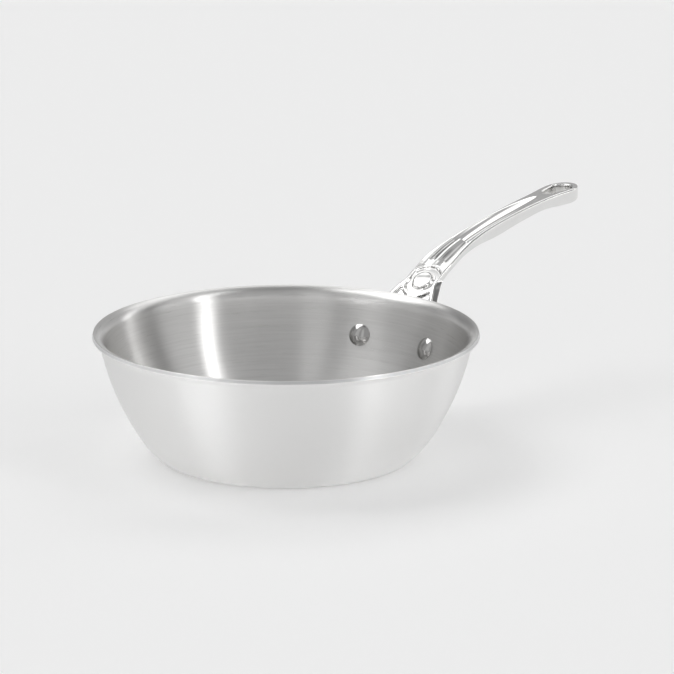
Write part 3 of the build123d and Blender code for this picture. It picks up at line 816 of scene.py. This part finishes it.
def handle_surface():
    """The casting as one grid: rows along it, and columns round each half section.

    The columns go over the upper side, down the outer wall, back under it and up the inner wall. A rounded
    edge between two faces is c + (p - c) cos a + (q - c) sin a, from p on one to q on the other.
    """
    rows = {key: [] for key in ("outer", "inner", "topouter", "topinner", "underouter", "underinner")}
    normals = {key: [] for key in ("topouter", "topinner", "underouter", "underinner")}
    spans = []
    parts = outline_rows()
    start = 0
    for number, (columns, count) in enumerate(zip(parts, ROW_COUNTS)):
        path = np.hypot(np.gradient(columns["outer"]), np.gradient(columns["topouter"]))
        path = path + np.hypot(np.gradient(columns["inner"]), np.gradient(columns["topinner"]))
        path = path * np.interp(columns["topouter"] - step_length, *np.array(ROW_DENSITY).T)
        travel = np.concatenate([[0], np.cumsum((path[1:] + path[:-1]) / 2)])
        at = np.interp(np.linspace(0, travel[-1], count + 1), travel, np.arange(len(travel)))
        at = at if number == 0 else at[1:]
        for key in rows:
            rows[key].append(np.interp(at, np.arange(len(travel)), columns[key]))
        for key in normals:
            side, inward_sign = ("outer", 1) if key.endswith("outer") else ("inner", -1)
            normal = inward_normals(columns[side], columns[key], inward_sign)
            row_numbers = np.arange(len(travel))
            turned = [np.interp(at, row_numbers, normal[:, i]) for i in range(2)]
            normals[key].append(np.stack(turned, axis=1))
        spans.append((start, start + len(at)))
        start += len(at)
    rows = {key: np.concatenate(value) for key, value in rows.items()}
    normals = {key: np.concatenate(value) for key, value in normals.items()}
    last = start - 1
    crotch_row, hole_row, hole_end_row = spans[0][1] - 1, spans[3][1] - 1, spans[4][1] - 1
    for key in normals:
        normals[key][0] = (0, 1)
        if key.endswith("outer"):
            normals[key][last] = (0, -1)
        else:
            normals[key][crotch_row] = (0, 1)
            normals[key][hole_row] = (0, -1)
            normals[key][hole_end_row] = (0, 1)

    index = np.arange(start)
    inner_edges = {}
    for key, edge in (("top", TOP_EDGE), ("under", UNDER_EDGE)):
        inner_edges[key] = np.where(index <= crotch_row, edge, EYE_EDGE)
        # On the axis, the rows slide from one opening's rounded edge to the next one's
        normal = normals[key + "inner"]
        for first, end, first_edge, end_edge in (
            (crotch_row, hole_row, edge, EYE_EDGE),
            (hole_end_row, last, EYE_EDGE, edge),
        ):
            inside = (index > first) & (index < end)
            slide = (index - first) / (end - first)
            shift = first_edge + (-end_edge - first_edge) * slide
            normal[inside] = np.stack([0 * shift, shift], axis=1)[inside]
            inner_edges[key][inside] = 1.0
    inner_edges["top"][last], inner_edges["under"][last] = TOP_EDGE, UNDER_EDGE
    normals["topinner"][last], normals["underinner"][last] = (0, -1), (0, -1)

    across = np.linspace(0, 1, TOP_COLUMNS)
    under_across = np.linspace(0, 1, UNDER_COLUMNS)
    quarter = np.linspace(0, math.pi / 2, EDGE_COLUMNS)[1:-1]
    wall_share = np.linspace(0, 1, WALL_COLUMNS)[None, :, None]

    def sheet(key, line, shares, lifted):
        """Rows of points across one side of the handle, between its rounded edges."""
        edge = TOP_EDGE if key == "top" else UNDER_EDGE
        ends = {}
        for side, width in (("inner", inner_edges[key]), ("outer", edge)):
            place = np.stack([rows[side], rows[key + side]], axis=1)
            ends[side] = place + normals[key + side] * np.reshape(width, (-1, 1))
        share = shares[None, :, None]
        grid = ends["inner"][:, None] * (1 - share) + ends["outer"][:, None] * share
        side, length = grid[..., 0], grid[..., 1]
        points = line.surface(length, side)
        if lifted:
            points = points + line.normal(length, side) * relief(length, side)[..., None]
        return points

    def rounded(flat_end, corner, wall_end):
        """Points of a rounded edge from a flat's end to a wall's, whose faces meet at the corner."""
        centre = (flat_end + wall_end - corner)[:, None]
        flat_arm, wall_arm = flat_end[:, None] - centre, wall_end[:, None] - centre
        angle = quarter[None, :, None]
        return centre + flat_arm * np.cos(angle) + wall_arm * np.sin(angle)

    top_sheet = sheet("top", top_line, across, True)
    under_sheet = sheet("under", under_line, under_across, False)
    walls = {}
    for side in ("outer", "inner"):
        top_corner = top_line.surface(rows["top" + side], rows[side])
        under_corner = under_line.surface(rows["under" + side], rows[side])
        drop = under_corner - top_corner
        drop = drop / np.linalg.norm(drop, axis=1)[:, None]
        top_width = TOP_EDGE if side == "outer" else inner_edges["top"][:, None]
        under_width = UNDER_EDGE if side == "outer" else inner_edges["under"][:, None]
        wall_top, wall_under = top_corner + drop * top_width, under_corner - drop * under_width
        column = -1 if side == "outer" else 0
        wall = wall_top[:, None] * (1 - wall_share) + wall_under[:, None] * wall_share
        upper_round = rounded(top_sheet[:, column], top_corner, wall_top)
        lower_round = rounded(under_sheet[:, column], under_corner, wall_under)[:, ::-1]
        walls[side] = np.concatenate([upper_round, wall, lower_round], axis=1)
    sides = [top_sheet, walls["outer"], under_sheet[:, ::-1], walls["inner"][:, ::-1]]
    loop = np.concatenate(sides, axis=1)

    count = loop.shape[1]
    open_part = len(across) + walls["outer"].shape[1] + len(under_across)
    number = np.arange(start * count).reshape(start, count)
    here, right = number, np.roll(number, -1, axis=1)
    quads = np.stack([here[:-1], right[:-1], right[1:], here[1:]], axis=2)
    column = np.arange(count)
    inner_wall = column >= open_part - 1
    row = np.arange(start - 1)
    opened = (row < crotch_row) | ((row >= hole_row) & (row < hole_end_row))
    keep = ~inner_wall[None, :] | opened[:, None]
    half = quads[keep]
    vertices = loop.reshape(-1, 3)
    mirrored = vertices * np.array([1, -1, 1])
    quads = np.concatenate([half[:, ::-1], half + len(vertices)])
    return np.concatenate([vertices, mirrored]), quads


handle_vertices, handle_quads = handle_surface()
handle = mesh_piece(
    "cast_handle", handle_vertices, handle_quads, sharp_angle=HANDLE_SHARP_ANGLE, merge=True
)
handle.data.materials.append(cast_polish("handle_polish", gloss_range=(0.07, 0.12)))
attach(handle, "root")
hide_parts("handle")

# Rivets

rivet_polish = plain_metal(
    "rivet_polish",
    dark=(0.50, 0.495, 0.487),
    light=(0.60, 0.595, 0.588),
    gloss_range=(0.08, 0.13),
    scale=400.0,
)
for node in ("rivet_left", "rivet_right"):
    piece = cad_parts[node]
    piece.data.materials.clear()
    piece.data.materials.append(rivet_polish)

# Studio

BACKGROUND = 0.847
OVERHEAD = 0.45
BACKGROUND_TOP = 0.02
OVERHEAD_START = 0.22
FLOOR_TONE = 0.88
FLOOR_GLOW = 0.155
FLOOR_HALF_SIZE = 8000.0
FLOOR_DROP = 0.1
CAMERA_TURN = 40.3
CAMERA_ELEVATION = 14.54
CAMERA_DISTANCE = 2.5
CAMERA_TARGET_SIDE = 0.0315
CAMERA_TARGET_HEIGHT = 0.0748
CAMERA_LENS = 215.7
CAMERA_SENSOR_WIDTH = 36.0
CAMERA_FAR_END = 50.0

turn = math.radians(CAMERA_TURN)
elevation = math.radians(CAMERA_ELEVATION)
view_right = np.array([math.sin(turn), -math.cos(turn), 0])
view_ahead = np.array([math.cos(turn), math.sin(turn), 0])
view_up = np.array([0, 0, 1])

square = np.array([[-1, -1, 0], [1, -1, 0], [1, 1, 0], [-1, 1, 0]])
floor_corners = square * FLOOR_HALF_SIZE - np.array([0, 0, FLOOR_DROP])
floor = mesh_piece("floor", floor_corners, np.array([[0, 1, 2, 3]]))
floor_material, floor_tree, floor_shader = new_material("floor_paper")
floor_shader.inputs["Base Color"].default_value = (*[FLOOR_TONE] * 3, 1)
floor_shader.inputs["Roughness"].default_value = 0.9
floor_shader.inputs["Specular IOR Level"].default_value = 0.0
floor_shader.inputs["Emission Color"].default_value = (1, 1, 1, 1)
floor_rays = floor_tree.nodes.new("ShaderNodeLightPath")
seen = floor_rays.outputs["Is Camera Ray"]
for kind in ("Is Glossy Ray", "Is Transmission Ray"):
    seen = math_node(floor_tree, "MAXIMUM", seen, floor_rays.outputs[kind])
glow = math_node(floor_tree, "MULTIPLY", seen, FLOOR_GLOW)
floor_tree.links.new(glow, floor_shader.inputs["Emission Strength"])
floor.data.materials.append(floor_material)

world = bpy.data.worlds.new("studio")
world.use_nodes = True
bpy.context.scene.world = world
tree = world.node_tree
background = next(node for node in tree.nodes if node.type == "BACKGROUND")
direction = tree.nodes.new("ShaderNodeTexCoord").outputs["Generated"]


def dot(vector):
    """Dot product of the direction looked in and a vector."""
    node = tree.nodes.new("ShaderNodeVectorMath")
    node.operation = "DOT_PRODUCT"
    tree.links.new(direction, node.inputs[0])
    node.inputs[1].default_value = tuple(vector)
    return node.outputs["Value"]


def window(value, half_size, softness):
    """1 where a value lies within a half size of zero, falling smoothly to 0 over the softness."""
    node = tree.nodes.new("ShaderNodeMapRange")
    node.interpolation_type = "SMOOTHSTEP"
    node.inputs["From Min"].default_value = half_size + softness
    node.inputs["From Max"].default_value = half_size
    tree.links.new(math_node(tree, "ABSOLUTE", value), node.inputs["Value"])
    return node.outputs["Result"]


azimuth = math_node(tree, "ARCTAN2", dot(view_right), dot(-view_ahead))


def softbox(side, lean, half_width, soft_side, low, high, soft_height, strength):
    """A far upright light, or a dark card where its strength is below zero: one window times another.

    It stands at a turn in degrees from the viewer to the viewer's right, met halfway up, and leans with
    height. Its low and high ends are sines of the elevation.
    """
    height = dot(view_up)
    middle = math_node(tree, "SUBTRACT", height, (low + high) / 2)
    offset = math_node(tree, "SUBTRACT", azimuth, math.radians(side))
    offset = math_node(tree, "SUBTRACT", offset, math_node(tree, "MULTIPLY", middle, math.radians(lean)))
    offset = math_node(tree, "WRAP", offset, math.pi, -math.pi)
    wide = window(offset, math.radians(half_width), math.radians(soft_side))
    tall = window(middle, (high - low) / 2, soft_height)
    return math_node(tree, "MULTIPLY", math_node(tree, "MULTIPLY", wide, tall), strength)


# The dome's level goes from the background's, at the horizon, to the lower one overhead
level = tree.nodes.new("ShaderNodeMapRange")
level.interpolation_type = "SMOOTHSTEP"
level.inputs["From Min"].default_value = BACKGROUND_TOP
level.inputs["From Max"].default_value = OVERHEAD_START
level.inputs["To Min"].default_value = BACKGROUND
level.inputs["To Max"].default_value = OVERHEAD
tree.links.new(dot(view_up), level.inputs["Value"])
# Upright lights and dark cards that stripe the bowl, low lights for its outside, high ones for its lip and
# the handle, and last a dark card overhead
boxes = [
    softbox(61, 25, 3.0, 3, 0.12, 0.88, 0.1, 2.9),
    softbox(82, 10, 8, 8, 0.12, 0.80, 0.1, 0.28),
    softbox(104, 10, 4, 5, 0.12, 0.80, 0.1, -0.28),
    softbox(124, 8, 3, 3, 0.10, 0.80, 0.1, 1.4),
    softbox(-20, 0, 6, 6, 0.20, 0.80, 0.1, 0.22),
    softbox(-58, 0, 9, 8, 0.26, 0.80, 0.1, 0.20),
    softbox(-108, 0, 7, 8, 0.12, 0.60, 0.1, -0.15),
    softbox(-156, 0, 10, 10, 0.12, 0.55, 0.05, -0.2),
    softbox(-50, 0, 11, 8, -0.1, 0.03, 0.03, 11.0),
    softbox(0, 0, 90, 40, -0.2, 0.03, 0.03, 3.8),
    softbox(180, 0, 30, 10, 0.60, 0.78, 0.04, 1.3),
    softbox(-110, 0, 24, 8, 0.70, 0.95, 0.05, 2.0),
    softbox(0, 0, 180, 10, 0.97, 1.1, 0.02, -0.2),
]
lit = boxes[0]
for box in boxes[1:]:
    lit = math_node(tree, "ADD", lit, box)
light_path = tree.nodes.new("ShaderNodeLightPath")
hidden = math_node(tree, "SUBTRACT", 1.0, light_path.outputs["Is Camera Ray"])
total = math_node(tree, "ADD", level.outputs["Result"], math_node(tree, "MULTIPLY", lit, hidden))
tree.links.new(total, background.inputs["Color"])

# Camera

camera_data = bpy.data.cameras.new("camera")
camera_data.lens = CAMERA_LENS
camera_data.sensor_width = CAMERA_SENSOR_WIDTH
camera_data.clip_end = CAMERA_FAR_END
camera = bpy.data.objects.new("camera", camera_data)
bpy.context.scene.collection.objects.link(camera)
bpy.context.scene.camera = camera
look = view_ahead * math.cos(elevation) - view_up * math.sin(elevation)
target = view_right * CAMERA_TARGET_SIDE + view_up * CAMERA_TARGET_HEIGHT
camera.location = tuple(target - look * CAMERA_DISTANCE)
camera.rotation_euler = (math.pi / 2 - elevation, 0, turn - math.pi / 2)

bpy.context.scene.view_settings.view_transform = "Standard"
